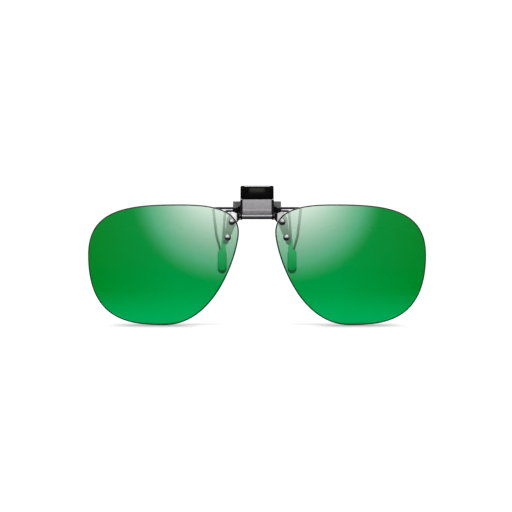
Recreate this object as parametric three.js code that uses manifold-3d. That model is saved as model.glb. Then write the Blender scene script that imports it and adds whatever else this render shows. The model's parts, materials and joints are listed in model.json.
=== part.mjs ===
// Clip-on flip-up lenses for spectacles: two green lenses carried on a sprung, pinch-open bridge clip.
// Millimetres. +X is to the right as seen from in front, -Y is the front and +Z is up.
// Everything is built with z = 0 at the flip axis and y = 0 midway between the gripping pads.
// The finished clip is raised by GRIP_DROP, so that its origin is the centre of the grip.
import * as THREE from 'three';
import { mergeVertices } from 'three/addons/utils/BufferGeometryUtils.js';
import Module from 'manifold-3d';

const wasm = await Module();
wasm.setup();

// Sheet, wire and fits
const SHEET = 0.7; // thickness of both jaw frames and of the lens brackets
const WIRE_DIAMETER = 0.9; // prong wire
const SEAT_GAP = 0.1; // between pieces that are fixed together
const RUN_GAP = 0.12; // between pieces that turn on one another, on each side

// Lenses
const LENS_THICKNESS = 1.8;
const LENS_CURVE = 100; // radius of the front surface
const LENS_CROWN = new THREE.Vector2(25, -18.2); // where the surface faces straight ahead
const LENS_TOP = new THREE.Vector2(30, 4.6);
const LENS_OUTER = new THREE.Vector2(64, -14.5);
const LENS_BOTTOM = new THREE.Vector2(35, -40.9);
const LENS_INNER = new THREE.Vector2(6.8, -6);
// How far the outline runs straight on from each of those four points before it turns.
const TOP_TANGENTS = { inwards: 8.5, outwards: 19.5 };
const OUTER_TANGENTS = { up: 17, down: 26 };
const BOTTOM_TANGENTS = { inwards: 20.5, outwards: 12 };
const INNER_TANGENTS = { up: 10.5, down: 6 };

// Rivets that hold each lens to its bracket
const RIVET_UPPER = new THREE.Vector2(9.65, -2.2);
const RIVET_LOWER = new THREE.Vector2(11.4, -8.2);
const SHANK_RADIUS = 0.55;
const RIVET_HEAD_RADIUS = 1.3;
const RIVET_HEAD_HEIGHT = 1;
const RIVET_TAIL_RADIUS = 0.95;
const RIVET_TAIL_HEIGHT = 0.5;
const BUSHING_WALL = 0.25;
const BUSHING_FLANGE = 0.3;
const CURVE_RISE = 0.2; // how far the curved back of the lens rises behind the bushing's flange
const WASHER_THICKNESS = 0.25;

// Lens brackets
const BRACKET_HALF_UPPER = 1.8; // half its width at the upper rivet
const BRACKET_HALF_LOWER = 1.1; // half its width at the lower rivet and at its rounded end
const BRACKET_END = new THREE.Vector2(0.5, -1.3); // from the lower rivet to the middle of the rounded end
const BRACKET_WAIST = -0.6; // from the upper rivet down to where the inner edge turns
// The outer edge, round the upper rivet and over to the tab, measured from that rivet.
const BRACKET_CREST = [[1.8, -0.4], [1.6, 1.6], [0.3, 4], [-0.7, 4.2]];
const TAB_HALF = 0.9; // half the height of the tab that joins the plate to the eye on the rod

// Flip rod
const FLIP_Y = -6;
const ROD_RADIUS = 0.75;
const ROD_FLAT = 0.6; // from the axis to each flat
const ROD_HEAD_RADIUS = 1.05;
const ROD_HEAD_LENGTH = 0.45;
const LUG_WALL = 0.6; // sheet round each hole of the rod and of the pin

// Front jaw frame and what is on it
const CHEEK_X = 5.65; // inner face of each cheek
const CHEEK_TOP = 6.4;
const CHEEK_DEPTH = 3.6; // how far the cheeks reach in front of the web
const CHEEK_CHAMFER = 0.6;
const CHEEK_WAIST = 3; // the cheek's front edge runs straight down to here, then out to the lug
const SHOULDER_X = 9.3;
const SHOULDER_ROOT = 3.9; // top of each shoulder, beside the cheek
const SHOULDER_TOP = 2.6; // top of each shoulder, at its outer end
const SHOULDER_BOTTOM = 0.8;
const WEB_BOTTOM = -1.1;
const TONGUE_TOP = 10.2;
const TONGUE_WIDTH = 11.3;
const CAP_WIDTH = 12.6;
const CAP_TOP = 11.6;
const CAP_SADDLE = 0.3; // the middle of the cap's top edge is this much lower than its corners
const CAP_SADDLE_WIDTH = 10;
const CAP_FRONT_WALL = 2.2;
const CAP_BACK_WALL = 0.45;
const CAP_BEVEL = 0.35;
const CAP_CORNER = 0.6;
const DISH_DEPTH = 0.3;
const DISH_TOP = new THREE.Vector2(3.4, 10.7); // half the thumb dish's width, and its height, at the top
const DISH_BOTTOM = new THREE.Vector2(2.9, 8.7);
const SPRING_LEAF = 0.5;
const LEAF_INSET = 1; // from the front edge of the cheeks back to the middle of the leaf
const LEAF_FOOT = 2.2; // bottom of the leaf's rear leg
const LIP_STEP = 0.45; // how far the lip stands in front of the rest of the leaf
const LIP_TOP = 2.35; // middle of the step
const LIP_STEP_RISE = 0.3;

// Jaw pin and jaw spring
const PIN_Z = 4.4;
const PIN_RADIUS = 0.6;
const PIN_HEAD_RADIUS = 1;
const PIN_HEAD_LENGTH = 0.4;
const JAW_OPENING = THREE.MathUtils.degToRad(24);
const HEEL_RISE = 1; // how far above the pin each stop heel meets the web
const COIL_RADIUS = 1.15;
const COIL_WIRE = 0.5;
const COIL_TURNS = 5.5;
const COIL_LENGTH = 3.6;
const SPRING_LEG_RISE = 1.7; // from the pin up to the end of each spring leg
const HEEL_TIP = new THREE.Vector2(0.3, 0.8); // lower corner of each heel, from the stop and from the pin
const PIN_FLANGE_INSET = 0.35; // the front flanges stand this far inside the cheeks

// Rear jaw frame
const THROAT = 5.4; // depth of the gap that takes the spectacle rim, from web to rear plate
const EAR_X = 9.2;
const EAR_TOP = 5.7;
const EAR_BOTTOM = 3.1;
const REAR_FOOT_X = 8.6; // half the rear plate's width at its bottom
const REAR_BOTTOM = 1.55;
const LEVER_WIDTH = 9.8;
const LEVER_TOP = 11.8;
const LEVER_ROOT = 5;
const LEVER_KNEE = 6.4; // where the lever starts to lean back
const LEVER_CURL = [[0.5, 1.6], [1.1, 0.6], [2.2, 0.35]]; // backwards from the plate and down from the top

// Prongs and pads
const GRIP_DROP = 14.6; // from the flip axis down to the centre of the grip
const PAD_LENGTH = 11.8;
const PAD_WIDTH = 3;
const REAR_PAD_LENGTH = 8;
const REAR_PAD_WIDTH = 3.4;
const SLEEVE_WALL = 0.25; // round the inner leg, above the front pad
const PAD_THICKNESS = 1.8;
const PAD_GAP = 0.3; // between the gripping faces of the closed jaws
const PAD_X = 13.4;
const PAD_BEVEL = 0.4;
const PAD_WALL = 0.5; // below the wire at the closed end
const LEG_SPACING = 1.1; // between the middles of the two legs inside a pad
const LEG_MEET_Z = -13; // where the outer leg comes down beside the inner one
const OUTER_KINK = new THREE.Vector2(15.5, -7.5); // where the outer leg starts to close on the inner one
const PRONG_ROOT_X = 6.9;
const PRONG_KNEE_X = 16.8; // where the outer leg turns down
const PRONG_UPPER_Z = 3.1;
const INNER_KNEE_SHIFT = 0.6; // the inner leg's knee stands this much nearer the middle than the leg does
const RIM_BOTTOM = -1.2; // the rear wires run straight down to here, behind the spectacle rim
const BEND_RADIUS = 1;
const REAR_PRONG_EXTRA = 1.3; // the rear pads reach this much lower

const WIRE = WIRE_DIAMETER / 2;
const PRONG_DEPTH = (PAD_GAP + PAD_THICKNESS) / 2;
const WEB_BACK_Y = -(PRONG_DEPTH + WIRE + SEAT_GAP);
const REAR_PLATE_Y = WEB_BACK_Y + THROAT;
const REAR_RUN_Y = REAR_PLATE_Y + SHEET + SEAT_GAP + WIRE;
const PIN_Y = WEB_BACK_Y + THROAT / 2;
const BRACKET_X = CHEEK_X + SHEET + RUN_GAP;
const ROD_HEAD_X = BRACKET_X + SHEET + SEAT_GAP;
const PIN_FLANGE_X = CHEEK_X - PIN_FLANGE_INSET;
const INNER_FLANGE_X = PIN_FLANGE_X - RUN_GAP - SHEET;

const BLACK_STEEL = { color: 0x1b1b1d, roughness: 0.35, metalness: 0.8 };
const GREY_STEEL = { color: 0x8f8d8e, roughness: 0.35, metalness: 1 };
const GUNMETAL = { color: 0x4a4c50, roughness: 0.25, metalness: 1 };
const WIRE_STEEL = { color: 0x9fa3a5, roughness: 0.3, metalness: 1 };
const BLACK_PLASTIC = { color: 0x141415, roughness: 0.4, metalness: 0 };
const CLEAR_PLASTIC = { color: 0xdfe6e2, roughness: 0.2, metalness: 0 };
const GREEN_PVC = { color: 0x2fc46c, roughness: 0.35, metalness: 0 };
const DARK_PVC = { color: 0x3a4a40, roughness: 0.45, metalness: 0 };
const GREEN_LENS = { color: 0x00843a, roughness: 0.05, metalness: 0.1, transparent: true, opacity: 0.8 };

// --- Solids ---------------------------------------------------------------------------------------------

function toSolid(geometry) {
  const bare = geometry.clone();
  bare.deleteAttribute('normal');
  bare.deleteAttribute('uv');
  const merged = mergeVertices(bare, 1e-4);
  const corners = merged.index.array;
  const triangles = [];
  for (let i = 0; i < corners.length; i += 3) {
    const [a, b, c] = [corners[i], corners[i + 1], corners[i + 2]];
    if (a !== b && b !== c && c !== a) triangles.push(a, b, c);
  }
  const vertProperties = new Float32Array(merged.attributes.position.array);
  const triVerts = new Uint32Array(triangles);
  return new wasm.Manifold(new wasm.Mesh({ numProp: 3, vertProperties, triVerts }));
}

function join(first, ...others) {
  return others.reduce((whole, piece) => whole.add(piece), first);
}

function cut(first, ...tools) {
  return tools.reduce((rest, tool) => rest.subtract(tool), first);
}

function piece(name, solid, finish) {
  const { vertProperties, triVerts } = solid.getMesh();
  const geometry = new THREE.BufferGeometry();
  geometry.setAttribute('position', new THREE.BufferAttribute(new Float32Array(vertProperties), 3));
  geometry.setIndex(new THREE.BufferAttribute(new Uint32Array(triVerts), 1));
  geometry.computeVertexNormals();
  const mesh = new THREE.Mesh(geometry, new THREE.MeshStandardMaterial(finish));
  mesh.name = name;
  return mesh;
}

function box(x0, x1, y0, y1, z0, z1) {
  const geometry = new THREE.BoxGeometry(x1 - x0, y1 - y0, z1 - z0);
  return toSolid(geometry.translate((x0 + x1) / 2, (y0 + y1) / 2, (z0 + z1) / 2));
}

function cylinderX(radius, x0, x1, y, z, sides = 24) {
  const geometry = new THREE.CylinderGeometry(radius, radius, x1 - x0, sides);
  return toSolid(geometry.rotateZ(Math.PI / 2).translate((x0 + x1) / 2, y, z));
}

// A plate whose outline is drawn in X and Z, between two depths.
function plateXZ(shape, y0, y1, options = {}) {
  const bevel = options.bevel ?? 0;
  const geometry = new THREE.ExtrudeGeometry(shape, {
    depth: y1 - y0 - 2 * bevel,
    bevelEnabled: bevel > 0,
    bevelSize: bevel,
    bevelThickness: bevel,
    bevelOffset: -bevel,
    bevelSegments: 2,
    curveSegments: options.curveSegments ?? 6,
  });
  return toSolid(geometry.rotateX(Math.PI / 2).translate(0, y1 - bevel, 0));
}

// A plate whose outline is drawn in Y and Z, between two places across the clip.
function plateYZ(points, x0, x1) {
  const shape = new THREE.Shape(points.map(([y, z]) => new THREE.Vector2(y, z)));
  const geometry = new THREE.ExtrudeGeometry(shape, { depth: x1 - x0, bevelEnabled: false });
  return toSolid(geometry.rotateX(Math.PI / 2).rotateZ(Math.PI / 2).translate(x0, 0, 0));
}

// The outline of a bent strip of sheet, from the middle line of its thickness.
function stripOutline(middle, thickness) {
  const line = middle.map(([y, z]) => new THREE.Vector2(y, z));
  const sides = [-1, 1].map((side) => line.map((point, i) => {
    const before = point.clone().sub(line[Math.max(i - 1, 0)]);
    const after = line[Math.min(i + 1, line.length - 1)].clone().sub(point);
    const into = (i > 0 ? before : after).clone().normalize();
    const out = (i < line.length - 1 ? after : before).clone().normalize();
    const mitre = new THREE.Vector2(-(into.y + out.y), into.x + out.x).normalize();
    const reach = (thickness / 2) / (mitre.x * -into.y + mitre.y * into.x);
    return [point.x + side * reach * mitre.x, point.y + side * reach * mitre.y];
  }));
  return [...sides[0], ...sides[1].reverse()];
}

// A path through fixed points that takes one step from each point to the next.
class PointRoute extends THREE.Curve {
  constructor(points) {
    super();
    this.points = points;
  }

  getPoint(t, target = new THREE.Vector3()) {
    const along = THREE.MathUtils.clamp(t, 0, 1) * (this.points.length - 1);
    const start = Math.min(Math.floor(along), this.points.length - 2);
    return target.lerpVectors(this.points[start], this.points[start + 1], along - start);
  }

  getPointAt(u, target) {
    return this.getPoint(u, target);
  }

  getTangentAt(u, target) {
    return this.getTangent(u, target);
  }
}

function wireSolid(points, radius, sides) {
  const section = new THREE.Shape();
  section.absarc(0, 0, radius, 0, 2 * Math.PI);
  const ring = new THREE.Shape(section.getSpacedPoints(sides).slice(0, sides));
  const geometry = new THREE.ExtrudeGeometry(ring, {
    steps: points.length - 1,
    bevelEnabled: false,
    extrudePath: new PointRoute(points),
  });
  return toSolid(geometry);
}

// Straight runs between corners, with each corner rounded to the bend radius.
function bentRoute(corners, radius, stepsPerBend) {
  const points = [corners[0]];
  for (let i = 1; i < corners.length - 1; i += 1) {
    const into = corners[i].clone().sub(corners[i - 1]).normalize();
    const out = corners[i + 1].clone().sub(corners[i]).normalize();
    const setback = radius * Math.tan(into.angleTo(out) / 2);
    const room = 0.48 * Math.min(corners[i].distanceTo(corners[i - 1]), corners[i].distanceTo(corners[i + 1]));
    const reach = Math.min(setback, room);
    const start = corners[i].clone().addScaledVector(into, -reach);
    const end = corners[i].clone().addScaledVector(out, reach);
    points.push(...new THREE.QuadraticBezierCurve3(start, corners[i], end).getPoints(stepsPerBend));
  }
  return [...points, corners[corners.length - 1]];
}

// --- Lens carrier: lenses, brackets, rivets and the flip rod -----------------------------------------------

// Where each bracket lies against its lens: a frame on the back surface, between the two rivets.
const mountX = (RIVET_UPPER.x + RIVET_LOWER.x) / 2;
const mountZ = (RIVET_UPPER.y + RIVET_LOWER.y) / 2;
const backCurve = LENS_CURVE - LENS_THICKNESS;
const slopeAcross = (mountX - LENS_CROWN.x) / backCurve;
const slopeUp = (mountZ - LENS_CROWN.y) / backCurve;
const facing = -Math.sqrt(1 - slopeAcross ** 2 - slopeUp ** 2);
const frontNormal = new THREE.Vector3(slopeAcross, facing, slopeUp);

// Layers behind the lens, measured from its back surface.
const FLANGE_FRONT = CURVE_RISE + SEAT_GAP;
const PLATE_FRONT = FLANGE_FRONT + BUSHING_FLANGE + SEAT_GAP;
const PLATE_BACK = PLATE_FRONT + SHEET;
const WASHER_FRONT = PLATE_BACK + SEAT_GAP;
const TAIL_FRONT = WASHER_FRONT + WASHER_THICKNESS + SEAT_GAP;

// The lenses stand far enough forward for the brackets to pass in front of the rod's heads.
const headEndX = ROD_HEAD_X + ROD_HEAD_LENGTH;
const plateLean = (slopeAcross * (BRACKET_X - mountX) + slopeUp * (ROD_HEAD_RADIUS - mountZ)) / -facing;
const mountY = FLIP_Y - ROD_HEAD_RADIUS - SEAT_GAP - PLATE_BACK - plateLean;
const lensCentre = new THREE.Vector3(mountX, mountY, mountZ).addScaledVector(frontNormal, -backCurve);

const mountFrame = new THREE.Matrix4().makeRotationFromQuaternion(
  new THREE.Quaternion().setFromUnitVectors(new THREE.Vector3(0, -1, 0), frontNormal),
).setPosition(mountX, mountY, mountZ);

// A rivet's place in the mount frame.
function rivetPlace(rivet) {
  const place = new THREE.Vector3(rivet.x, mountY, rivet.y).applyMatrix4(mountFrame.clone().invert());
  return new THREE.Vector2(place.x, place.z);
}

// A solid turned about the mount frame's depth axis from a profile of radius and depth.
function turnedAtRivet(profile, rivet, sides) {
  const place = rivetPlace(rivet);
  const geometry = new THREE.LatheGeometry(profile.map(([r, y]) => new THREE.Vector2(r, y)), sides);
  return toSolid(geometry.translate(place.x, 0, place.y).applyMatrix4(mountFrame));
}

// A straight hole or tube is turned from its two radii and two depths.
function tubeProfile(inner, outer, y0, y1) {
  return [[inner, y0], [outer, y0], [outer, y1], [inner, y1], [inner, y0]];
}

function rodProfile(radius, y0, y1) {
  return [[0, y0], [radius, y0], [radius, y1], [0, y1]];
}

function lensOutline() {
  const outline = new THREE.Shape();
  outline.moveTo(LENS_TOP.x, LENS_TOP.y);
  outline.bezierCurveTo(
    LENS_TOP.x + TOP_TANGENTS.outwards, LENS_TOP.y, LENS_OUTER.x, LENS_OUTER.y + OUTER_TANGENTS.up,
    LENS_OUTER.x, LENS_OUTER.y,
  );
  outline.bezierCurveTo(
    LENS_OUTER.x, LENS_OUTER.y - OUTER_TANGENTS.down, LENS_BOTTOM.x + BOTTOM_TANGENTS.outwards, LENS_BOTTOM.y,
    LENS_BOTTOM.x, LENS_BOTTOM.y,
  );
  outline.bezierCurveTo(
    LENS_BOTTOM.x - BOTTOM_TANGENTS.inwards, LENS_BOTTOM.y, LENS_INNER.x, LENS_INNER.y - INNER_TANGENTS.down,
    LENS_INNER.x, LENS_INNER.y,
  );
  outline.bezierCurveTo(
    LENS_INNER.x, LENS_INNER.y + INNER_TANGENTS.up, LENS_TOP.x - TOP_TANGENTS.inwards, LENS_TOP.y,
    LENS_TOP.x, LENS_TOP.y,
  );
  return outline;
}

// The lens blank is a domed shell, thick enough all over to be trimmed to the outline.
function lensBlank() {
  const farthest = Math.max(...lensOutline().getPoints(8).map((point) => point.distanceTo(LENS_CROWN)));
  const reach = Math.asin((farthest + LENS_THICKNESS) / LENS_CURVE);
  const rings = 6;
  const front = [];
  const back = [];
  for (let ring = 0; ring <= rings; ring += 1) {
    const angle = (reach * ring) / rings;
    front.push(new THREE.Vector2(LENS_CURVE * Math.sin(angle), -LENS_CURVE * Math.cos(angle)));
    back.unshift(new THREE.Vector2(backCurve * Math.sin(angle), -backCurve * Math.cos(angle)));
  }
  const geometry = new THREE.LatheGeometry([...front, ...back], 24);
  return toSolid(geometry.translate(lensCentre.x, lensCentre.y, lensCentre.z));
}

function lens(name) {
  const trim = plateXZ(lensOutline(), lensCentre.y - LENS_CURVE - 1, lensCentre.y - LENS_CURVE + 16, {
    curveSegments: 14,
  });
  const hole = rodProfile(SHANK_RADIUS + BUSHING_WALL + 2 * SEAT_GAP, -2 * LENS_THICKNESS, LENS_THICKNESS);
  const holes = [RIVET_UPPER, RIVET_LOWER].map((rivet) => turnedAtRivet(hole, rivet, 14));
  return piece(name, cut(lensBlank().intersect(trim), ...holes), GREEN_LENS);
}

function rivet(name, place) {
  const head = -LENS_THICKNESS - SEAT_GAP;
  const profile = [[0, head - RIVET_HEAD_HEIGHT]];
  for (const share of [0.35, 0.62, 0.83, 0.96]) {
    const angle = (share * Math.PI) / 2;
    profile.push([RIVET_HEAD_RADIUS * Math.sin(angle), head - RIVET_HEAD_HEIGHT * Math.cos(angle)]);
  }
  profile.push([RIVET_HEAD_RADIUS, head], [SHANK_RADIUS, head], [SHANK_RADIUS, TAIL_FRONT]);
  profile.push([RIVET_TAIL_RADIUS, TAIL_FRONT], [RIVET_TAIL_RADIUS * 0.7, TAIL_FRONT + RIVET_TAIL_HEIGHT]);
  profile.push([0, TAIL_FRONT + RIVET_TAIL_HEIGHT]);
  return piece(name, turnedAtRivet(profile, place, 14), GUNMETAL);
}

function bushing(name, place) {
  const inner = SHANK_RADIUS + SEAT_GAP;
  const outer = inner + BUSHING_WALL - SEAT_GAP;
  const front = SEAT_GAP - LENS_THICKNESS;
  const back = FLANGE_FRONT + BUSHING_FLANGE;
  const profile = [
    [inner, front], [outer, front], [outer, FLANGE_FRONT], [RIVET_HEAD_RADIUS, FLANGE_FRONT],
    [RIVET_HEAD_RADIUS, back], [inner, back], [inner, front],
  ];
  return piece(name, turnedAtRivet(profile, place, 14), CLEAR_PLASTIC);
}

function washer(name, place) {
  const back = WASHER_FRONT + WASHER_THICKNESS;
  const ring = tubeProfile(SHANK_RADIUS + SEAT_GAP, RIVET_HEAD_RADIUS, WASHER_FRONT, back);
  return piece(name, turnedAtRivet(ring, place, 14), GREY_STEEL);
}

// The bracket: a plate behind the lens that runs up to a tab with an eye on the rod.
function bracket(name) {
  const end = RIVET_LOWER.clone().add(BRACKET_END);
  const outline = new THREE.Shape();
  outline.moveTo(BRACKET_X, -ROD_HEAD_RADIUS);
  outline.lineTo(RIVET_UPPER.x - BRACKET_HALF_UPPER, RIVET_UPPER.y + BRACKET_WAIST);
  outline.lineTo(RIVET_LOWER.x - BRACKET_HALF_LOWER, RIVET_LOWER.y);
  outline.absarc(end.x, end.y, BRACKET_HALF_LOWER, Math.PI, 2 * Math.PI, false);
  outline.lineTo(RIVET_LOWER.x + BRACKET_HALF_LOWER, RIVET_LOWER.y);
  for (const [x, z] of BRACKET_CREST) outline.lineTo(RIVET_UPPER.x + x, RIVET_UPPER.y + z);
  outline.lineTo(BRACKET_X, ROD_HEAD_RADIUS);
  const local = new THREE.Shape(outline.getPoints(6).map((point) => rivetPlace(point)));
  const plateGeometry = new THREE.ExtrudeGeometry(local, { depth: SHEET, bevelEnabled: false });
  plateGeometry.rotateX(Math.PI / 2).translate(0, PLATE_BACK, 0).applyMatrix4(mountFrame);
  const drill = rodProfile(SHANK_RADIUS + SEAT_GAP, PLATE_FRONT - SHEET, PLATE_BACK + SHEET);
  const holes = [RIVET_UPPER, RIVET_LOWER].map((rivetPoint) => turnedAtRivet(drill, rivetPoint, 14));
  const eyeRadius = ROD_RADIUS + LUG_WALL;
  const tab = join(
    cylinderX(eyeRadius, BRACKET_X, BRACKET_X + SHEET, FLIP_Y, 0),
    box(BRACKET_X, BRACKET_X + SHEET, FLIP_Y - eyeRadius - SHEET, FLIP_Y, -TAB_HALF, TAB_HALF),
  );
  const rodHole = cylinderX(ROD_RADIUS + SEAT_GAP, BRACKET_X - SHEET, BRACKET_X + 2 * SHEET, FLIP_Y, 0);
  return piece(name, cut(join(toSolid(plateGeometry), tab), ...holes, rodHole), GREY_STEEL);
}

function flipRod() {
  const halfFlats = CHEEK_X - RUN_GAP;
  const round = cylinderX(ROD_RADIUS, -ROD_HEAD_X, ROD_HEAD_X, FLIP_Y, 0);
  const heads = [-1, 1].map((side) => {
    const [x0, x1] = [side * ROD_HEAD_X, side * headEndX].sort((a, b) => a - b);
    return cylinderX(ROD_HEAD_RADIUS, x0, x1, FLIP_Y, 0);
  });
  const flats = [];
  for (const side of [-1, 1]) {
    const [low, high] = [side * ROD_FLAT, side * 2 * ROD_RADIUS].sort((a, b) => a - b);
    flats.push(box(-halfFlats, halfFlats, FLIP_Y + low, FLIP_Y + high, -ROD_RADIUS, ROD_RADIUS));
    flats.push(box(-halfFlats, halfFlats, FLIP_Y - ROD_RADIUS, FLIP_Y + ROD_RADIUS, low, high));
  }
  return piece('flip_rod', join(cut(round, ...flats), ...heads), GUNMETAL);
}

// --- Front jaw --------------------------------------------------------------------------------------------

function frontJawFrame() {
  const cheekOuter = CHEEK_X + SHEET;
  const half = [
    [TONGUE_WIDTH / 2, TONGUE_TOP], [TONGUE_WIDTH / 2, CHEEK_TOP],
    [cheekOuter, CHEEK_TOP], [cheekOuter, SHOULDER_ROOT], [SHOULDER_X, SHOULDER_TOP],
    [SHOULDER_X, SHOULDER_BOTTOM], [cheekOuter, SHOULDER_BOTTOM], [cheekOuter, WEB_BOTTOM],
  ];
  const whole = [...half, ...half.map(([x, z]) => [-x, z]).reverse()].reverse();
  const web = new THREE.Shape(whole.map(([x, z]) => new THREE.Vector2(x, z)));
  const webSolid = plateXZ(web, WEB_BACK_Y - SHEET, WEB_BACK_Y);
  const lugRadius = ROD_RADIUS + LUG_WALL;
  const frontEdge = WEB_BACK_Y - SHEET - CHEEK_DEPTH;
  const cheekPoints = [
    [WEB_BACK_Y, WEB_BOTTOM], [WEB_BACK_Y, CHEEK_TOP], [frontEdge + CHEEK_CHAMFER, CHEEK_TOP],
    [frontEdge, CHEEK_TOP - CHEEK_CHAMFER], [frontEdge, CHEEK_WAIST],
    [FLIP_Y - lugRadius * 0.9, lugRadius * 0.4], [FLIP_Y, 0], [FLIP_Y + lugRadius * 0.5, -lugRadius * 0.85],
  ];
  const eyeRadius = PIN_RADIUS + RUN_GAP + LUG_WALL;
  const flangePoints = [
    [WEB_BACK_Y - SHEET, PIN_Z - eyeRadius], [PIN_Y, PIN_Z - eyeRadius],
    [PIN_Y, PIN_Z + eyeRadius], [WEB_BACK_Y - SHEET, PIN_Z + eyeRadius],
  ];
  const parts = [];
  for (const side of [-1, 1]) {
    const [c0, c1] = [side * CHEEK_X, side * cheekOuter].sort((a, b) => a - b);
    const [f0, f1] = [side * PIN_FLANGE_X, side * (PIN_FLANGE_X + SHEET)].sort((a, b) => a - b);
    parts.push(plateYZ(cheekPoints, c0, c1), cylinderX(lugRadius, c0, c1, FLIP_Y, 0));
    parts.push(plateYZ(flangePoints, f0, f1), cylinderX(eyeRadius, f0, f1, PIN_Y, PIN_Z));
  }
  const rodHole = cylinderX(ROD_RADIUS + RUN_GAP, -SHOULDER_X, SHOULDER_X, FLIP_Y, 0);
  const pinHole = cylinderX(PIN_RADIUS + SEAT_GAP, -SHOULDER_X, SHOULDER_X, PIN_Y, PIN_Z);
  return piece('front_jaw_frame', cut(join(webSolid, ...parts), rodHole, pinHole), BLACK_STEEL);
}

function thumbCap() {
  const back = WEB_BACK_Y + SEAT_GAP + CAP_BACK_WALL;
  const front = WEB_BACK_Y - SHEET - SEAT_GAP - CAP_FRONT_WALL;
  const half = CAP_WIDTH / 2;
  const bottom = CHEEK_TOP + SEAT_GAP;
  const outline = new THREE.Shape();
  outline.moveTo(-half, bottom);
  outline.lineTo(half, bottom);
  outline.lineTo(half, CAP_TOP - CAP_CORNER);
  outline.absarc(half - CAP_CORNER, CAP_TOP - CAP_CORNER, CAP_CORNER, 0, Math.PI / 2, false);
  outline.lineTo(CAP_SADDLE_WIDTH / 2, CAP_TOP);
  outline.lineTo(CAP_SADDLE_WIDTH / 2 - CAP_SADDLE, CAP_TOP - CAP_SADDLE);
  outline.lineTo(CAP_SADDLE - CAP_SADDLE_WIDTH / 2, CAP_TOP - CAP_SADDLE);
  outline.lineTo(-CAP_SADDLE_WIDTH / 2, CAP_TOP);
  outline.lineTo(CAP_CORNER - half, CAP_TOP);
  outline.absarc(CAP_CORNER - half, CAP_TOP - CAP_CORNER, CAP_CORNER, Math.PI / 2, Math.PI, false);
  const body = plateXZ(outline, front, back, { bevel: CAP_BEVEL, curveSegments: 4 });
  const pocketHalf = TONGUE_WIDTH / 2 + SEAT_GAP;
  const pocket = box(
    -pocketHalf, pocketHalf, WEB_BACK_Y - SHEET - SEAT_GAP, WEB_BACK_Y + SEAT_GAP,
    bottom - 1, TONGUE_TOP + SEAT_GAP,
  );
  const mirrored = new THREE.Vector2(-1, 1);
  const dish = new THREE.Shape([
    DISH_TOP.clone().multiply(mirrored), DISH_BOTTOM.clone().multiply(mirrored), DISH_BOTTOM, DISH_TOP,
  ]);
  return piece('thumb_cap', cut(body, pocket, plateXZ(dish, front - 1, front + DISH_DEPTH)), BLACK_PLASTIC);
}

// A leaf folded over at the top: its rear leg lies on the web and its lip rests over the rod.
function clickSpring() {
  const rearLeg = WEB_BACK_Y - SHEET - SEAT_GAP - SPRING_LEAF / 2;
  const frontLeg = WEB_BACK_Y - SHEET - CHEEK_DEPTH + LEAF_INSET;
  const top = CHEEK_TOP - SPRING_LEAF / 2;
  const lip = frontLeg - LIP_STEP;
  const besideAxis = Math.max(0, Math.abs(lip - FLIP_Y) - SPRING_LEAF / 2);
  const lipEnd = Math.sqrt((ROD_RADIUS + RUN_GAP) ** 2 - besideAxis ** 2);
  const outline = stripOutline([
    [rearLeg, LEAF_FOOT], [rearLeg, top], [frontLeg, top], [frontLeg, LIP_TOP + LIP_STEP_RISE / 2],
    [lip, LIP_TOP - LIP_STEP_RISE / 2], [lip, lipEnd],
  ], SPRING_LEAF);
  const half = CHEEK_X - RUN_GAP;
  return piece('click_spring', plateYZ(outline, -half, half), GREY_STEEL);
}

function jawPin() {
  const headX = PIN_FLANGE_X + SHEET + SEAT_GAP;
  return piece('jaw_pin', join(
    cylinderX(PIN_RADIUS, -headX, headX, PIN_Y, PIN_Z),
    cylinderX(PIN_HEAD_RADIUS, headX, headX + PIN_HEAD_LENGTH, PIN_Y, PIN_Z),
    cylinderX(PIN_HEAD_RADIUS, -headX - PIN_HEAD_LENGTH, -headX, PIN_Y, PIN_Z),
  ), GUNMETAL);
}

// Its two legs push the web and the finger lever apart, which shuts the pads below.
function jawSpring() {
  const steps = Math.round(COIL_TURNS * 12);
  const half = COIL_LENGTH / 2;
  const clear = COIL_WIRE / 2 + SEAT_GAP;
  const points = [new THREE.Vector3(-half, WEB_BACK_Y + clear, PIN_Z + SPRING_LEG_RISE)];
  for (let i = 0; i <= steps; i += 1) {
    const angle = Math.PI + (2 * Math.PI * COIL_TURNS * i) / steps;
    points.push(new THREE.Vector3(
      -half + (COIL_LENGTH * i) / steps,
      PIN_Y + COIL_RADIUS * Math.cos(angle),
      PIN_Z + COIL_RADIUS * Math.sin(angle),
    ));
  }
  points.push(new THREE.Vector3(half, REAR_PLATE_Y - clear, PIN_Z + SPRING_LEG_RISE));
  return piece('jaw_spring', wireSolid(points, COIL_WIRE / 2, 6), WIRE_STEEL);
}

// --- Rear jaw ---------------------------------------------------------------------------------------------

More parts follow.
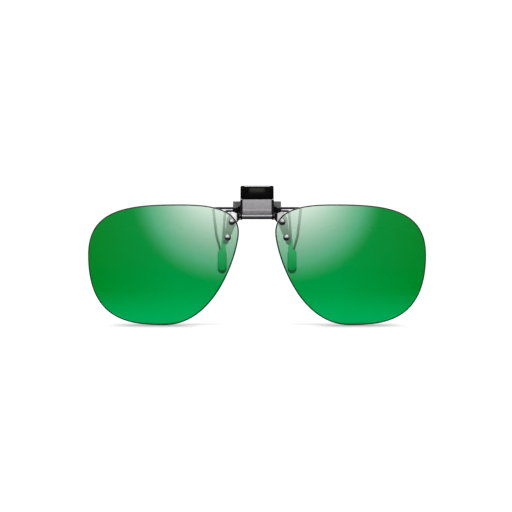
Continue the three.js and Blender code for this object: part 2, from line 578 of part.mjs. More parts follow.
function rearJawFrame() {
  const back = REAR_PLATE_Y + SHEET;
  const half = [[LEVER_WIDTH / 2, EAR_TOP], [EAR_X, EAR_TOP], [EAR_X, EAR_BOTTOM], [REAR_FOOT_X, REAR_BOTTOM]];
  const whole = [...half, ...half.map(([x, z]) => [-x, z]).reverse()].reverse();
  const plate = plateXZ(new THREE.Shape(whole.map(([x, z]) => new THREE.Vector2(x, z))), REAR_PLATE_Y, back);
  const middle = REAR_PLATE_Y + SHEET / 2;
  const lever = plateYZ(stripOutline([
    [middle, LEVER_ROOT], [middle, LEVER_KNEE],
    ...LEVER_CURL.map(([backwards, down]) => [middle + backwards, LEVER_TOP - down]),
  ], SHEET), -LEVER_WIDTH / 2, LEVER_WIDTH / 2);
  const eyeRadius = PIN_RADIUS + RUN_GAP + LUG_WALL;
  const reach = PIN_Y - WEB_BACK_Y - RUN_GAP / 2;
  const heel = new THREE.Vector2(-reach, HEEL_RISE).rotateAround(new THREE.Vector2(), -JAW_OPENING);
  const flangePoints = [
    [back, PIN_Z - eyeRadius], [back, PIN_Z + heel.y], [PIN_Y + heel.x, PIN_Z + heel.y],
    [PIN_Y + heel.x + HEEL_TIP.x, PIN_Z + HEEL_TIP.y], [PIN_Y, PIN_Z - eyeRadius],
  ];
  const parts = [];
  for (const side of [-1, 1]) {
    const [x0, x1] = [side * INNER_FLANGE_X, side * (INNER_FLANGE_X + SHEET)].sort((a, b) => a - b);
    parts.push(plateYZ(flangePoints, x0, x1), cylinderX(eyeRadius, x0, x1, PIN_Y, PIN_Z));
  }
  const pinHole = cylinderX(PIN_RADIUS + RUN_GAP, -EAR_X, EAR_X, PIN_Y, PIN_Z);
  return piece('rear_jaw_frame', cut(join(plate, lever, ...parts), pinHole), GREY_STEEL);
}

// --- Prongs and pads --------------------------------------------------------------------------------------

// One wire: out from the frame, down the outer leg, round the end and back up the inner leg.
// A rear wire runs down behind the spectacle rim before it comes forward to the grip.
function prong(name, runY, gripY, extra) {
  const turnZ = -PAD_LENGTH / 2 - GRIP_DROP + PAD_WALL + WIRE - extra;
  const outerX = PAD_X + LEG_SPACING / 2;
  const innerX = PAD_X - LEG_SPACING / 2;
  const lowerZ = PRONG_UPPER_Z - WIRE_DIAMETER - 2 * SEAT_GAP;
  const innerKneeX = innerX - INNER_KNEE_SHIFT;
  const kneeAt = (kneeX, targetX, z) => (
    THREE.MathUtils.mapLinear(z, PRONG_UPPER_Z, OUTER_KINK.y, kneeX, targetX)
  );
  const corners = [
    [PRONG_ROOT_X, runY, PRONG_UPPER_Z],
    [PRONG_KNEE_X, runY, PRONG_UPPER_Z],
    [kneeAt(PRONG_KNEE_X, OUTER_KINK.x, RIM_BOTTOM), runY, RIM_BOTTOM],
    [OUTER_KINK.x, gripY, OUTER_KINK.y],
    [outerX, gripY, LEG_MEET_Z],
    [outerX, gripY, turnZ],
    [innerX, gripY, turnZ],
    [innerX, gripY, OUTER_KINK.y],
    [kneeAt(innerKneeX, innerX, RIM_BOTTOM), runY, RIM_BOTTOM],
    [innerKneeX, runY, lowerZ],
    [PRONG_ROOT_X, runY, lowerZ],
  ].map(([x, y, z]) => new THREE.Vector3(x, y, z));
  return piece(name, wireSolid(bentRoute(corners, BEND_RADIUS, 3), WIRE, 8), WIRE_STEEL);
}

// The pocket of a pad: wide enough for both legs up to where they part, and one leg wide above that.
function padPocket(gripY, bottom, top) {
  const depth = WIRE + SEAT_GAP;
  const slotHalf = LEG_SPACING / 2 + depth;
  const innerX = PAD_X - LEG_SPACING / 2;
  const floor = bottom + PAD_WALL - SEAT_GAP;
  return join(
    box(PAD_X - slotHalf, PAD_X + slotHalf, gripY - depth, gripY + depth, floor, LEG_MEET_Z + BEND_RADIUS),
    box(innerX - depth, innerX + depth, gripY - depth, gripY + depth, LEG_MEET_Z, top + 1),
  );
}

// The front pad is a soft boot with a rounded end and a sleeve that runs on up the inner leg.
function frontPad(name, gripY) {
  const half = PAD_WIDTH / 2;
  const bottom = -PAD_LENGTH / 2 - GRIP_DROP;
  const top = PAD_LENGTH / 2 - GRIP_DROP;
  const sleeveHalf = WIRE + SEAT_GAP + SLEEVE_WALL;
  const innerX = PAD_X - LEG_SPACING / 2;
  const outline = new THREE.Shape();
  outline.moveTo(innerX - sleeveHalf, top);
  outline.lineTo(PAD_X - half, LEG_MEET_Z);
  outline.absarc(PAD_X, bottom + half, half, Math.PI, 2 * Math.PI, false);
  outline.lineTo(PAD_X + half, LEG_MEET_Z);
  outline.lineTo(innerX + sleeveHalf, LEG_MEET_Z + PAD_BEVEL);
  outline.lineTo(innerX + sleeveHalf, top);
  const body = plateXZ(outline, gripY - PAD_THICKNESS / 2, gripY + PAD_THICKNESS / 2, { bevel: SLEEVE_WALL });
  return piece(name, cut(body, padPocket(gripY, bottom, top)), GREEN_PVC);
}

// The rear pad is a plain boot, set a little lower.
function rearPad(name, gripY) {
  const half = REAR_PAD_WIDTH / 2;
  const bottom = -PAD_LENGTH / 2 - GRIP_DROP - REAR_PRONG_EXTRA;
  const top = Math.min(bottom + REAR_PAD_LENGTH, LEG_MEET_Z);
  const outline = new THREE.Shape();
  outline.moveTo(PAD_X - half, top);
  outline.lineTo(PAD_X - half, bottom + half);
  outline.absarc(PAD_X, bottom + half, half, Math.PI, 2 * Math.PI, false);
  outline.lineTo(PAD_X + half, top);
  const body = plateXZ(outline, gripY - PAD_THICKNESS / 2, gripY + PAD_THICKNESS / 2, { bevel: PAD_BEVEL });
  return piece(name, cut(body, padPocket(gripY, bottom, top)), DARK_PVC);
}

// --- Assembly ---------------------------------------------------------------------------------------------

const clip = new THREE.Group();
clip.position.z = GRIP_DROP;
clip.add(frontJawFrame(), thumbCap(), clickSpring(), jawPin(), jawSpring(), rearJawFrame(), flipRod());

for (const [side, sign] of [['left', -1], ['right', 1]]) {
  const half = new THREE.Group();
  half.scale.x = sign;
  half.add(
    lens(`lens_${side}`),
    bracket(`bracket_${side}`),
    prong(`front_prong_${side}`, -PRONG_DEPTH, -PRONG_DEPTH, 0),
    prong(`rear_prong_${side}`, REAR_RUN_Y, PRONG_DEPTH, REAR_PRONG_EXTRA),
    frontPad(`front_pad_${side}`, -PRONG_DEPTH),
    rearPad(`rear_pad_${side}`, PRONG_DEPTH),
  );
  for (const [row, place] of [['upper', RIVET_UPPER], ['lower', RIVET_LOWER]]) {
    half.add(rivet(`rivet_${row}_${side}`, place));
    half.add(bushing(`bushing_${row}_${side}`, place));
    half.add(washer(`washer_${row}_${side}`, place));
  }
  clip.add(half);
}

export default clip;
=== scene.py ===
# %% [markdown]
# # Clip-on flip lenses
# Two green lenses hang from a small sprung clip that grips a pair of spectacles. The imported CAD
# frame fixes every size, joint and body. This lesson gives each piece its finished shape and its
# finish, and then sets a plain studio round it.

# %% Load the frame
import json
import math

import bmesh
import bpy
from mathutils import Matrix, Vector
from mathutils.geometry import interpolate_bezier


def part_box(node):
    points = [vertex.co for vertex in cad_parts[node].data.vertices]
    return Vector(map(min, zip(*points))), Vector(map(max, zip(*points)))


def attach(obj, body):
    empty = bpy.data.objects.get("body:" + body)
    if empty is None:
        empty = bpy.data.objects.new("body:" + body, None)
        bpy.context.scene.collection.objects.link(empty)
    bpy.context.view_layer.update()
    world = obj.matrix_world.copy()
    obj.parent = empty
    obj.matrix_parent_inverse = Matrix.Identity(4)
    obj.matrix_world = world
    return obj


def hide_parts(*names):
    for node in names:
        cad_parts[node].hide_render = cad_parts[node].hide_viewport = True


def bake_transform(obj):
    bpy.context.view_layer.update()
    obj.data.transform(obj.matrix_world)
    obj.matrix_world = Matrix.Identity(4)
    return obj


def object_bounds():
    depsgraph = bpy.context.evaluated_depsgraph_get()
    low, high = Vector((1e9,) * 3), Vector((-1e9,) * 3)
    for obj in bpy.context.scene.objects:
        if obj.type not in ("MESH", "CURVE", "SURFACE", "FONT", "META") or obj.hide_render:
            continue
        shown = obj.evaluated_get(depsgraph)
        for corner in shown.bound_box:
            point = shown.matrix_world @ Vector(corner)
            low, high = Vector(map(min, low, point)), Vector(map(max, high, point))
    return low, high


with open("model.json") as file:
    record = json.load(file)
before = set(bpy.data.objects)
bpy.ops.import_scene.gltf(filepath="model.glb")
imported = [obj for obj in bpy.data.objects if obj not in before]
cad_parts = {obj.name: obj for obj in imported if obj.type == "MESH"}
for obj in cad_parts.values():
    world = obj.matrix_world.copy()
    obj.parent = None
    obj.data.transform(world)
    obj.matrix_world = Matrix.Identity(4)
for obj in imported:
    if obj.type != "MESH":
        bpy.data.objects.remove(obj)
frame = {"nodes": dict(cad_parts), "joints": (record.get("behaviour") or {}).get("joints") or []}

CAD_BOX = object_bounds()
MM = 0.001
print("CAD box", CAD_BOX)

# %% [markdown]
# The joints say where the lenses flip and where the jaws turn. The clip's own heights are easiest
# to read from the flip axis, so every later height is measured from there.

# %% Axes and sizes taken from the frame
JOINTS = {joint["name"]: joint for joint in frame["joints"]}
FLIP = Vector(JOINTS["flip_hinge"]["pos_m"])
PIN = Vector(JOINTS["jaw_hinge"]["pos_m"])
SIDES = {"left": -1, "right": 1}


def above_flip(x, y, z):
    """A point given in millimetres, with its height measured from the flip axis."""
    return Vector((x * MM, y * MM, FLIP.z + z * MM))


print("flip axis", FLIP[:], "jaw pin", PIN[:])

# %% [markdown]
# The camera stands straight in front with a long lens, so the clip is seen almost without
# perspective. It is lifted a degree or two, just enough to see the shadows on the floor.

# %% Camera
CAMERA_LENS_MM = 150
SENSOR_MM = 36
FRAME_WIDTH = 0.1935  # metres across the picture where the lenses are
CAMERA_LIFT = math.radians(1.5)
LENS_PLANE_Y = -0.0065

camera_data = bpy.data.cameras.new("studio_camera")
camera_data.lens = CAMERA_LENS_MM
camera_data.sensor_width = SENSOR_MM
camera = bpy.data.objects.new("studio_camera", camera_data)
bpy.context.scene.collection.objects.link(camera)
target = Vector((-0.0004, LENS_PLANE_Y, (CAD_BOX[0][2] + CAD_BOX[1][2]) / 2 - 0.0004))
distance = FRAME_WIDTH * CAMERA_LENS_MM / SENSOR_MM
camera.location = target + distance * Vector((0, -math.cos(CAMERA_LIFT), math.sin(CAMERA_LIFT)))
camera.rotation_euler = (math.pi / 2 - CAMERA_LIFT, 0, 0)
bpy.context.scene.camera = camera
bpy.context.scene.view_settings.view_transform = "Standard"
print("camera", round(distance, 3), "m away")

# %% [markdown]
# ## Finishes
# Every finish is procedural. One helper turns sRGB hex into the linear colour the shader needs,
# and one adds a node with its settings and links.

# %% Helpers for materials


def linear(hex_colour):
    """An sRGB hex colour such as 8F8D8E as a linear colour with alpha 1."""
    channels = [int(hex_colour[i:i + 2], 16) / 255 for i in (0, 2, 4)]
    return [c / 12.92 if c <= 0.04045 else ((c + 0.055) / 1.055) ** 2.4 for c in channels] + [1.0]


def add(tree, kind, inputs=None, **settings):
    """Adds a node. An input is a value or the socket that feeds it."""
    made = tree.nodes.new(kind)
    for key, value in settings.items():
        setattr(made, key, value)
    for name, value in (inputs or {}).items():
        if isinstance(value, bpy.types.NodeSocket):
            tree.links.new(value, made.inputs[name])
        else:
            made.inputs[name].default_value = value
    return made


def finish(name, **sockets):
    """A material with a Principled shader whose plain numbers are set on its own sockets."""
    material = bpy.data.materials.new(name)
    material.use_nodes = True
    tree = material.node_tree
    shader = tree.nodes["Principled BSDF"]
    for socket, value in sockets.items():
        shader.inputs[socket.replace("_", " ")].default_value = value
    return material, tree, shader


def object_pattern(tree, scale_mm):
    """Object coordinates stretched so that one unit of a pattern is scale_mm on the piece."""
    coords = add(tree, "ShaderNodeTexCoord")
    return add(tree, "ShaderNodeMapping", {
        "Vector": coords.outputs["Object"],
        "Scale": [1 / (MM * size) for size in scale_mm],
    }).outputs["Vector"]


def ramp(tree, fac, stops, interpolation="LINEAR"):
    """A colour ramp from a list of (place, colour)."""
    node = add(tree, "ShaderNodeValToRGB", {"Fac": fac})
    node.color_ramp.interpolation = interpolation
    elements = node.color_ramp.elements
    while len(elements) < len(stops):
        elements.new(0.5)
    for element, (place, colour) in zip(elements, stops):
        element.position = place
        element.color = colour
    return node.outputs["Color"]


def grey(value):
    """A linear grey with alpha 1."""
    return (value, value, value, 1.0)


def rough_and_bump(tree, shader, noise, rough, depth_mm):
    """Lets a noise vary the roughness between two values and lift the surface by depth_mm."""
    level = add(tree, "ShaderNodeMapRange", {
        "Value": noise, "From Min": 0.3, "From Max": 0.7, "To Min": rough[0], "To Max": rough[1],
    })
    tree.links.new(level.outputs["Result"], shader.inputs["Roughness"])
    bump = add(tree, "ShaderNodeBump", {"Height": noise, "Strength": 0.6, "Distance": depth_mm * MM})
    tree.links.new(bump.outputs["Normal"], shader.inputs["Normal"])


# %% [markdown]
# ### Lens: gradient-dyed polycarbonate with a painted glare
# The sheet is dyed green, deeper towards the temples and fresher at the bottom. Round a centre
# above the top nasal corner the colour is painted pale, to almost clear, with a cooler green where
# it begins: a painted glare that stands in for a reflection. Over the same corner of the front face,
# densest at the top, the surface is painted metallic and silver, so it mirrors the tent as a pale
# sheen and washes out what is behind: partly a real reflection, partly painted. The rest has an
# anti-reflection coat: hence the dark specular tint. All the gradients are measured from fixed
# points of each lens, so each side has its own material.

# %% Lens material
DYE_DEEP = linear("008025")
DYE_MID = linear("008F3E")
DYE_FRESH = linear("00994F")
GLARE_EDGE_GREEN = linear("009D62")
GLARE_WHITE = linear("F4F5F0")
GLARE_MIRROR_SILVER = linear("BCCAC0")
TEMPLE_MM = (30.0, 62.0)  # the dye deepens between these distances from the middle of the clip
BOTTOM_MM = (-28.0, -41.0)  # and freshens between these heights from the flip axis
GLARE_CENTRE_MM = (12.0, 11.6)
GLARE_RADIUS_MM = 37.0
GLARE_POWER = 1.6
GLARE_EDGE_SHARE = 0.08  # share of the painted glare at which the colour has turned all the way to the cooler green
GLARE_MIRROR_SHARE = 0.95
POLYCARBONATE_IOR = 1.586
LENS_RADIUS = 100.0  # of the front surface, in millimetres
LENS_CROWN = (25.0, -18.2)  # where the surface faces straight ahead


def lens_material(side, sign):
    """Dyed sheet with a painted glare: its colour and mirror share follow gradients in millimetres."""
    material, tree, shader = finish(
        f"gradient dyed polycarbonate, flash coated, {side}",
        IOR=POLYCARBONATE_IOR, Roughness=0.03, Transmission_Weight=1.0, Specular_Tint=grey(0.08),
    )
    coords = add(tree, "ShaderNodeTexCoord").outputs["Object"]
    place = add(tree, "ShaderNodeSeparateXYZ", {"Vector": coords})
    outward = add(tree, "ShaderNodeMapRange", {
        "Value": place.outputs["X"],
        "From Min": sign * TEMPLE_MM[0] * MM, "From Max": sign * TEMPLE_MM[1] * MM,
    })
    downward = add(tree, "ShaderNodeMapRange", {
        "Value": place.outputs["Z"],
        "From Min": FLIP.z + BOTTOM_MM[0] * MM, "From Max": FLIP.z + BOTTOM_MM[1] * MM,
    })
    dye = add(tree, "ShaderNodeMix", {
        "Factor": outward.outputs["Result"], 6: DYE_MID, 7: DYE_DEEP,
    }, data_type="RGBA")
    dyed = add(tree, "ShaderNodeMix", {
        "Factor": downward.outputs["Result"], 6: dye.outputs[2], 7: DYE_FRESH,
    }, data_type="RGBA")
    lens_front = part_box(f"lens_{side}")[0].y
    glare_centre = above_flip(sign * GLARE_CENTRE_MM[0], lens_front / MM, GLARE_CENTRE_MM[1])
    away = add(tree, "ShaderNodeVectorMath", {0: coords, 1: glare_centre}, operation="DISTANCE")
    nearness = add(tree, "ShaderNodeMapRange", {
        "Value": away.outputs["Value"], "From Min": GLARE_RADIUS_MM * MM, "From Max": 0.0,
    })
    # painted glare: the colour is painted pale round a centre above the top nasal corner
    painted_glare = add(tree, "ShaderNodeMath", {
        0: nearness.outputs["Result"], 1: GLARE_POWER,
    }, operation="POWER").outputs["Value"]
    glare_edge_mask = add(tree, "ShaderNodeMapRange", {"Value": painted_glare, "From Min": 0.0, "From Max": GLARE_EDGE_SHARE})
    glare_edge_mix = add(tree, "ShaderNodeMix", {
        "Factor": glare_edge_mask.outputs["Result"], 6: dyed.outputs[2], 7: GLARE_EDGE_GREEN,
    }, data_type="RGBA")
    glare_white_mix = add(tree, "ShaderNodeMix", {
        "Factor": painted_glare, 6: glare_edge_mix.outputs[2], 7: GLARE_WHITE,
    }, data_type="RGBA")
    # The painted metallic glare lies on the front face only: the full radius from the lens's centre.
    centre = above_flip(sign * LENS_CROWN[0], lens_front / MM + LENS_RADIUS, LENS_CROWN[1])
    depth = add(tree, "ShaderNodeVectorMath", {0: coords, 1: centre}, operation="DISTANCE")
    on_front = add(tree, "ShaderNodeMath", {
        0: depth.outputs["Value"], 1: (LENS_RADIUS - 0.5) * MM,
    }, operation="GREATER_THAN")
    # painted glare: a metallic silver patch on the front face, densest at the top
    glare_mirror_strength = add(tree, "ShaderNodeMath", {0: painted_glare, 1: GLARE_MIRROR_SHARE}, operation="MULTIPLY")
    mirror = add(tree, "ShaderNodeMath", {
        0: glare_mirror_strength.outputs["Value"], 1: on_front.outputs["Value"],
    }, operation="MULTIPLY")
    glare_base_colour = add(tree, "ShaderNodeMix", {
        "Factor": mirror.outputs["Value"], 6: glare_white_mix.outputs[2], 7: GLARE_MIRROR_SILVER,
    }, data_type="RGBA")
    tree.links.new(glare_base_colour.outputs[2], shader.inputs["Base Color"])
    tree.links.new(mirror.outputs["Value"], shader.inputs["Metallic"])
    return material


def lens_edge_material():
    """The ground and lacquered rim: dark, with the marks of the edging wheel round it."""
    material, tree, shader = finish(
        "ground lens edge, dark lacquered", IOR=POLYCARBONATE_IOR, Specular_IOR_Level=0.15,
    )
    noise = add(tree, "ShaderNodeTexNoise", {
        "Vector": object_pattern(tree, (0.6, 0.15, 0.6)), "Scale": 1.0, "Detail": 3.0,
    })
    colour = ramp(tree, noise.outputs["Fac"], [(0.3, linear("020A05")), (0.7, linear("06180D"))])
    tree.links.new(colour, shader.inputs["Base Color"])
    rough_and_bump(tree, shader, noise.outputs["Fac"], (0.3, 0.5), 0.01)
    return material


LENS_MATERIALS = {side: lens_material(side, sign) for side, sign in SIDES.items()}
LENS_EDGE = lens_edge_material()
print("lens materials", [m.name for m in LENS_MATERIALS.values()])

# %% [markdown]
# ### Metals
# The front frame is black-nickel plated steel. The leaf, the rear frame and the washers are satin
# steel, brushed along the strip, and so are the brackets, whose roots next to the hinge are painted
# near black as painted shade. The rivets are polished gunmetal, and the rod and the pin polished
# steel. The spring is darkened wire, and the prongs are bright drawn wire whose top runs, where
# they leave the frame, are painted dark as painted shade.
# Brushing and drawing marks are stretched noise, drawn coarser than the real 0.02 mm scratches so
# that they show.

# %% Metal materials


def metal_material(name, dark, light, grain_mm, rough, depth_mm):
    """Metal whose tone and gloss follow a noise of that grain size along X, Y and Z."""
    material, tree, shader = finish(name, Metallic=1.0)
    noise = add(tree, "ShaderNodeTexNoise", {
        "Vector": object_pattern(tree, grain_mm), "Scale": 1.0, "Detail": 4.0, "Roughness": 0.6,
    })
    colour = ramp(tree, noise.outputs["Fac"], [(0.32, linear(dark)), (0.68, linear(light))])
    tree.links.new(colour, shader.inputs["Base Color"])
    rough_and_bump(tree, shader, noise.outputs["Fac"], rough, depth_mm)
    return material


BLACK_STEEL = metal_material(
    "black nickel plated steel", "0A0A0B", "1A1A1C", (0.5, 0.5, 0.5), (0.22, 0.4), 0.004,
)
SATIN_STEEL = metal_material(
    "satin brushed steel", "7A787A", "9C9A9C", (1.4, 0.09, 0.09), (0.3, 0.48), 0.005,
)
GUNMETAL = metal_material(
    "polished gunmetal", "8E8E92", "A8A8AC", (0.7, 0.7, 0.7), (0.05, 0.12), 0.001,
)
ROD_STEEL = metal_material(
    "polished steel", "98989C", "B0B0B4", (0.7, 0.7, 0.7), (0.12, 0.22), 0.002,
)
SPRING_WIRE = metal_material(
    "drawn spring wire, darkened", "46464A", "646468", (0.12, 0.12, 1.2), (0.2, 0.34), 0.003,
)


def steel_with_painted_shade(name, dark, light, black, grain_mm, rough, axis, bright_at, black_at):
    """Steel that turns from its own tone to a painted dark shade between two distances along an axis.
    """
    material, tree, shader = finish(name, Metallic=1.0)
    noise = add(tree, "ShaderNodeTexNoise", {
        "Vector": object_pattern(tree, grain_mm), "Scale": 1.0, "Detail": 4.0, "Roughness": 0.6,
    })
    steel = ramp(tree, noise.outputs["Fac"], [(0.32, linear(dark)), (0.68, linear(light))])
    coords = add(tree, "ShaderNodeTexCoord").outputs["Object"]
    place = add(tree, "ShaderNodeSeparateXYZ", {"Vector": coords})
    reach = add(tree, "ShaderNodeMath", {0: place.outputs[axis]}, operation="ABSOLUTE")
    painted_shade_share = add(tree, "ShaderNodeMapRange", {
        "Value": reach.outputs["Value"], "From Min": bright_at, "From Max": black_at,
    })
    colour = add(tree, "ShaderNodeMix", {
        "Factor": painted_shade_share.outputs["Result"], 6: steel, 7: linear(black),
    }, data_type="RGBA")
    tree.links.new(colour.outputs[2], shader.inputs["Base Color"])
    rough_and_bump(tree, shader, noise.outputs["Fac"], rough, 0.004)
    return material


# painted shade: the bracket roots next to the hinge are painted near black, 121214
BRACKET_STEEL = steel_with_painted_shade(
    "satin steel, root painted dark as shade", "B4B2B4", "D0CED0", "121214",
    (1.2, 0.12, 0.12), (0.3, 0.48), "X", 0.0079, 0.0075,
)
# painted shade: the prongs' top runs above the flip axis are painted dark, 3C3C40
PRONG_WIRE = steel_with_painted_shade(
    "drawn stainless wire, top runs painted dark as shade", "B4B4B8", "D4D4D8", "3C3C40",
    (0.12, 0.12, 1.2), (0.26, 0.42), "Z", FLIP.z + 0.0008, FLIP.z + 0.0022,
)
METALS = (BLACK_STEEL, SATIN_STEEL, GUNMETAL, ROD_STEEL, SPRING_WIRE, BRACKET_STEEL, PRONG_WIRE)
print("metals", [metal.name for metal in METALS])

# %% [markdown]
# ### Plastics and soft PVC
# The thumb cap is moulded black nylon with a fine spark-eroded grain, and the upper part of its dish
# is painted a little paler as a painted sheen of light. The front boots are dipped in soft green
# PVC, which lets some light through, and the rear ones in opaque grey PVC. The bushings are natural
# nylon, which is nearly clear at this thickness.

# %% Plastic materials


def plastic_material(name, dark, light, grain_mm, rough, depth_mm, **sockets):
    """Plastic with a fine moulded grain."""
    material, tree, shader = finish(name, **sockets)
    noise = add(tree, "ShaderNodeTexNoise", {
        "Vector": object_pattern(tree, (grain_mm,) * 3), "Scale": 1.0, "Detail": 3.0,
    })
    colour = ramp(tree, noise.outputs["Fac"], [(0.3, linear(dark)), (0.7, linear(light))])
    tree.links.new(colour, shader.inputs["Base Color"])
    rough_and_bump(tree, shader, noise.outputs["Fac"], rough, depth_mm)
    return material


SHEEN_SIDE_MM = (3.5, 2.2)  # from no painted sheen to full, on either side of the middle
SHEEN_HEIGHT_MM = (8.6, 10.4)  # from no painted sheen to full, above the flip axis
SHEEN_TOP_MM = 10.7  # no painted sheen above this height


def cap_material():
    """Moulded black nylon whose thumb dish has a paler painted sheen towards its top edge."""
    material, tree, shader = finish("moulded black nylon", IOR=1.53, Specular_IOR_Level=0.05)
    noise = add(tree, "ShaderNodeTexNoise", {
        "Vector": object_pattern(tree, (0.18, 0.18, 0.18)), "Scale": 1.0, "Detail": 3.0,
    })
    colour = ramp(tree, noise.outputs["Fac"], [(0.3, linear("010101")), (0.7, linear("060606"))])
    coords = add(tree, "ShaderNodeTexCoord").outputs["Object"]
    place = add(tree, "ShaderNodeSeparateXYZ", {"Vector": coords})
    beside = add(tree, "ShaderNodeMath", {0: place.outputs["X"]}, operation="ABSOLUTE")
    inside = add(tree, "ShaderNodeMapRange", {
        "Value": beside.outputs["Value"],
        "From Min": SHEEN_SIDE_MM[0] * MM, "From Max": SHEEN_SIDE_MM[1] * MM,
    })
    up = add(tree, "ShaderNodeMapRange", {
        "Value": place.outputs["Z"],
        "From Min": FLIP.z + SHEEN_HEIGHT_MM[0] * MM, "From Max": FLIP.z + SHEEN_HEIGHT_MM[1] * MM,
    })
    below_rim = add(tree, "ShaderNodeMath", {
        0: place.outputs["Z"], 1: FLIP.z + SHEEN_TOP_MM * MM,
    }, operation="LESS_THAN")
    sheen_area = add(tree, "ShaderNodeMath", {
        0: inside.outputs["Result"], 1: up.outputs["Result"],
    }, operation="MULTIPLY")
    dish = add(tree, "ShaderNodeMath", {
        0: sheen_area.outputs["Value"], 1: below_rim.outputs["Value"],
    }, operation="MULTIPLY")
    # painted sheen: the upper middle of the dish is painted 33332E, paler than the nylon
    with_painted_sheen = add(tree, "ShaderNodeMix", {
        "Factor": dish.outputs["Value"], 6: colour, 7: linear("33332E"),
    }, data_type="RGBA")
    tree.links.new(with_painted_sheen.outputs[2], shader.inputs["Base Color"])
    rough_and_bump(tree, shader, noise.outputs["Fac"], (0.45, 0.6), 0.006)
    return material


BLACK_NYLON = cap_material()
GREEN_PVC = plastic_material(
    "dipped green PVC", "00FA9C", "0CFFAC", 0.6, (0.3, 0.42), 0.004,
    IOR=1.54, Transmission_Weight=0.25,
)
GREY_PVC = plastic_material(
    "dipped grey PVC", "858585", "989898", 0.6, (0.35, 0.5), 0.004, IOR=1.54,
)
NATURAL_NYLON = plastic_material(
    "natural nylon", "D8DDD4", "ECEFE8", 0.4, (0.2, 0.3), 0.002,
    IOR=1.53, Transmission_Weight=0.7,
)
print("plastics", BLACK_NYLON.name, GREEN_PVC.name, GREY_PVC.name, NATURAL_NYLON.name)

# %% [markdown]
# ## Shapes
# A finished piece sits at the origin with its place in its mesh. One helper turns a bmesh into
# such a piece, says which CAD node it stands for and, unless it is blended, which body carries it.

# %% Helpers for pieces


def place_piece(name, mesh, body, slot, *materials, blended=None):
    """Makes the object and hides the CAD node of the same name; a body carries it unless it is blended,
    when its place is baked into its mesh.
    """
    for material in materials:
        mesh.materials.append(material)
    piece = bpy.data.objects.new(f"{name}_finished", mesh)
    bpy.context.scene.collection.objects.link(piece)
    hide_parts(name)
    if blended:
        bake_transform(piece)
    else:
        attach(piece, body)
    return piece


def to_mesh(bm, name, smooth_angle=25):
    """Merges doubles, turns the faces outwards and shades smooth up to an angle."""
    bmesh.ops.remove_doubles(bm, verts=bm.verts, dist=1e-7)
    bmesh.ops.recalc_face_normals(bm, faces=bm.faces)
    mesh = bpy.data.meshes.new(name)
    bm.to_mesh(mesh)
    bm.free()
    mesh.shade_smooth()
    mesh.set_sharp_from_angle(angle=math.radians(smooth_angle))
    return mesh


def spun(profile, steps=40):
    """A closed bmesh turned about Y from (radius, depth) points in millimetres."""
    bm = bmesh.new()
    verts = [bm.verts.new((radius * MM, depth * MM, 0)) for radius, depth in profile]
    edges = [bm.edges.new(pair) for pair in zip(verts, verts[1:])]
    if profile[0][0] > 0:
        edges.append(bm.edges.new((verts[-1], verts[0])))
    bmesh.ops.spin(
        bm, geom=verts + edges, cent=(0, 0, 0), axis=(0, 1, 0), dvec=(0, 0, 0),
        angle=2 * math.pi, steps=steps, use_merge=True,
    )
    bmesh.ops.remove_doubles(bm, verts=bm.verts, dist=1e-8)
    return bm


def rounded_profile(corners, radius, steps=3):
    """The same outline with each inner corner of a profile rounded."""
    points = [corners[0]]
    for before, corner, after in zip(corners, corners[1:], corners[2:]):
        here = Vector((*corner, 0))
        to_before = Vector((*before, 0)) - here
        to_after = Vector((*after, 0)) - here
        reach = min(radius, to_before.length * 0.45, to_after.length * 0.45)
        start = here + to_before.normalized() * reach
        end = here + to_after.normalized() * reach
        curve = interpolate_bezier(
            start, start.lerp(here, 0.55), end.lerp(here, 0.55), end, steps + 1,
        )
        points += [(p.x, p.y) for p in curve]
    return points + [corners[-1]]


# %% [markdown]
# ### The lenses
# Each lens is cut from a domed sheet of 100 mm front radius. The outline, four Bezier arcs between
# its top, outer, bottom and inner points, is stepped inwards in rings, so that the quads follow the
# rim. Dropping every point on the sphere gives the dome. The back is the same surface dropped on a
# sphere 1.8 mm smaller, so the rim is cut straight back as an edging wheel cuts it. A half
# millimetre ground chamfer, lacquered like the rim, makes the dark line round each lens.

# %% Lens outline and dome
LENS_THICKNESS = 1.8
LENS_EDGE_BEVEL = 0.5
LENS_RINGS = 14
RIM_POINTS_PER_ARC = 36
lens_lo, lens_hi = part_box("lens_right")
LENS_FRONT_Y = lens_lo.y / MM
TOP, OUTER, BOTTOM, INNER = (
    (30.0, (lens_hi.z - FLIP.z) / MM), (lens_hi.x / MM, -14.5),
    (35.0, (lens_lo.z - FLIP.z) / MM), (lens_lo.x / MM, -6.0),
)
SPHERE_Y = LENS_FRONT_Y + LENS_RADIUS


def lens_rim():
    """The outline as points in the plane of the clip, each corner point once."""
    arcs = [
        (TOP, (TOP[0] + 19.5, TOP[1]), (OUTER[0], OUTER[1] + 17), OUTER),
        (OUTER, (OUTER[0], OUTER[1] - 26), (BOTTOM[0] + 12, BOTTOM[1]), BOTTOM),
        (BOTTOM, (BOTTOM[0] - 20.5, BOTTOM[1]), (INNER[0], INNER[1] - 6), INNER),
        (INNER, (INNER[0], INNER[1] + 10.5), (TOP[0] - 8.5, TOP[1]), TOP),
    ]
    rim = []
    for arc in arcs:
        start, first, second, end = (Vector((x, 0, z)) for x, z in arc)
        rim += interpolate_bezier(start, first, second, end, RIM_POINTS_PER_ARC + 1)[:-1]
    return rim


def dome_y(x, z, radius):
    """Depth of a sphere of that radius, about the lens's centre of curvature."""
    return SPHERE_Y - math.sqrt(radius ** 2 - (x - LENS_CROWN[0]) ** 2 - (z - LENS_CROWN[1]) ** 2)


